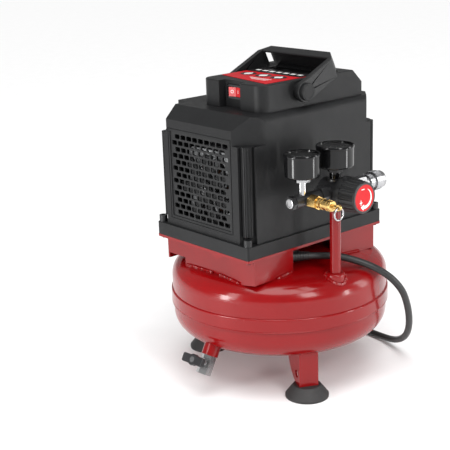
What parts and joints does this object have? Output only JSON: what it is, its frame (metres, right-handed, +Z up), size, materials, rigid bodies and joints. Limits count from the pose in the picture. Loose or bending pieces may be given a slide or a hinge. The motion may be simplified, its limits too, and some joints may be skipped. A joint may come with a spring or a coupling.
{
  "type": "pancake air compressor",
  "caption": "Small oil-free pancake air compressor: round tank on rubber feet, louvred motor housing, folding handle, gauges, regulator and quick coupler.",
  "frame": {"origin": "on the tank's axis, on the plane that the feet stand on", "axes": "+Z up, +X right along the control side, +Y to the back"},
  "size_m": [0.2876, 0.3961, 0.3743],
  "materials": {
    "red_paint": "gloss",
    "black_housing": "fine textured",
    "grille_plastic": "satin",
    "knob_plastic": "satin",
    "red_plastic": "gloss",
    "bezel_plastic": "gloss",
    "label_film": "gloss",
    "foot_rubber": "matt",
    "cord_rubber": "satin",
    "brass": "turned",
    "cast_zinc": "cast, painted black",
    "chrome": "polished",
    "plated_steel": "plated",
    "black_steel": "black oxide",
    "gauge_case": "gloss",
    "gauge_dial": "satin",
    "gauge_needle": "satin",
    "gauge_lens": "clear",
    "lever_steel": "satin",
    "cast_aluminium": "cast",
    "crank_iron": "machined",
    "rod_aluminium": "cast",
    "lamination_steel": "satin",
    "copper_winding": "varnished",
    "copper_tube": "satin",
    "fan_plastic": "satin",
    "cradle_steel": "satin",
    "switch_box": "satin"
  },
  "bodies": {
    "compressor": {"base_plate": "red_paint", "base_tray": "black_housing", "bracket_left": "red_paint", "bracket_right": "red_paint", "check_valve": "brass", "control_pod": "black_housing", "cord_gland": "cord_rubber", "corner_screws": "black_steel", "coupler_body": "plated_steel", "crankcase": "cast_aluminium", "cylinder_head": "cast_aluminium", "discharge_pipe": "copper_tube", "drain_bung": "red_paint", "drain_valve_body": "plated_steel", "foot_screws": "plated_steel", "gauge_cases": "gauge_case", "gauge_dials": "gauge_dial", "gauge_lenses": "gauge_lens", "grille_panel": "grille_plastic", "handle_pivot_caps": "black_housing", "housing_cover": "black_housing", "manifold_end_plug": "chrome", "manifold_tube": "cast_zinc", "motor_cradle": "cradle_steel", "motor_end_shield": "cast_aluminium", "motor_stator": "lamination_steel", "motor_windings": "copper_winding", "outlet_gauge_stem": "chrome", "pod_label": "label_film", "power_cord": "cord_rubber", "power_cord_coil": "cord_rubber", "power_cord_tail": "cord_rubber", "power_plug": "cord_rubber", "pressure_switch": "switch_box", "regulator_body": "cast_zinc", "riser_tube": "red_paint", "rocker_bezel": "bezel_plastic", "rubber_feet": "foot_rubber", "safety_valve_body": "brass", "shaft_bearings": "plated_steel", "tank_gauge_stem": "chrome", "tank_legs": "red_paint", "tank_lower_shell": "red_paint", "tank_seam_weld": "red_paint", "tank_upper_shell": "red_paint"},
    "handle": {"carry_handle": "black_housing"},
    "rocker": {"rocker_switch": "red_plastic"},
    "knob": {"regulator_knob": "knob_plastic", "knob_disc": "red_plastic"},
    "safety_stem": {"safety_valve_stem": "brass"},
    "pull_ring": {"safety_pull_ring": "chrome"},
    "tank_needle": {"tank_gauge_needle": "gauge_needle"},
    "outlet_needle": {"outlet_gauge_needle": "gauge_needle"},
    "sleeve": {"coupler_sleeve": "chrome"},
    "drain_handle": {"drain_lever": "lever_steel", "drain_ball": "chrome"},
    "rotor": {"motor_rotor": "plated_steel", "crank_eccentric": "crank_iron", "cooling_fan": "fan_plastic"},
    "rod": {"connecting_rod": "rod_aluminium"}
  },
  "joints": [
    {"name": "handle_lift", "type": "hinge", "parent": "compressor", "child": "handle", "pos_m": [-0.023, 0, 0.3385], "axis": [0, -1, 0], "range_deg": [0, 65]},
    {"name": "rocker_tilt", "type": "hinge", "parent": "compressor", "child": "rocker", "pos_m": [-0.064, -0.012, 0.3385], "axis": [0, 0, -1], "range_deg": [0, 16]},
    {"name": "knob_turn", "type": "hinge", "parent": "compressor", "child": "knob", "pos_m": [-0.0175, -0.136, 0.2345], "axis": [0, -1, 0], "range_deg": [0, 720]},
    {"name": "safety_pull", "type": "slide", "parent": "compressor", "child": "safety_stem", "axis": [0, -1, 0], "range_m": [0, 0.003], "stiffness_N_per_m": 400, "springref_m": -0.002},
    {"name": "ring_swing", "type": "hinge", "parent": "safety_stem", "child": "pull_ring", "pos_m": [-0.063, -0.156, 0.2345], "axis": [1, 0, 0], "range_deg": [-45, 45]},
    {"name": "tank_needle_sweep", "type": "hinge", "parent": "compressor", "child": "tank_needle", "pos_m": [-0.0665, -0.108, 0.28], "axis": [0, 0, -1], "range_deg": [0, 270], "stiffness_Nm_per_rad": 0.0005},
    {"name": "outlet_needle_sweep", "type": "hinge", "parent": "compressor", "child": "outlet_needle", "pos_m": [-0.0175, -0.108, 0.28], "axis": [0, 0, -1], "range_deg": [0, 270], "stiffness_Nm_per_rad": 0.0005},
    {"name": "sleeve_pull", "type": "slide", "parent": "compressor", "child": "sleeve", "axis": [-1, 0, 0], "range_m": [0, 0.004], "stiffness_N_per_m": 600, "springref_m": -0.002},
    {"name": "drain_turn", "type": "hinge", "parent": "compressor", "child": "drain_handle", "pos_m": [-0.1232, -0.00861, 0.03703], "axis": [-0.8639, -0.0604, 0.5], "range_deg": [0, 90]},
    {"name": "rotor_spin", "type": "hinge", "parent": "compressor", "child": "rotor", "pos_m": [0, 0.008, 0.232], "axis": [1, 0, 0], "continuous": true},
    {"name": "crank_pin", "type": "hinge", "parent": "rotor", "child": "rod", "pos_m": [0.016, 0.008, 0.236], "axis": [1, 0, 0], "continuous": true}
  ],
  "couplings": [
    {"joint": "crank_pin", "follows": "rotor_spin", "ratio": -1}
  ]
}
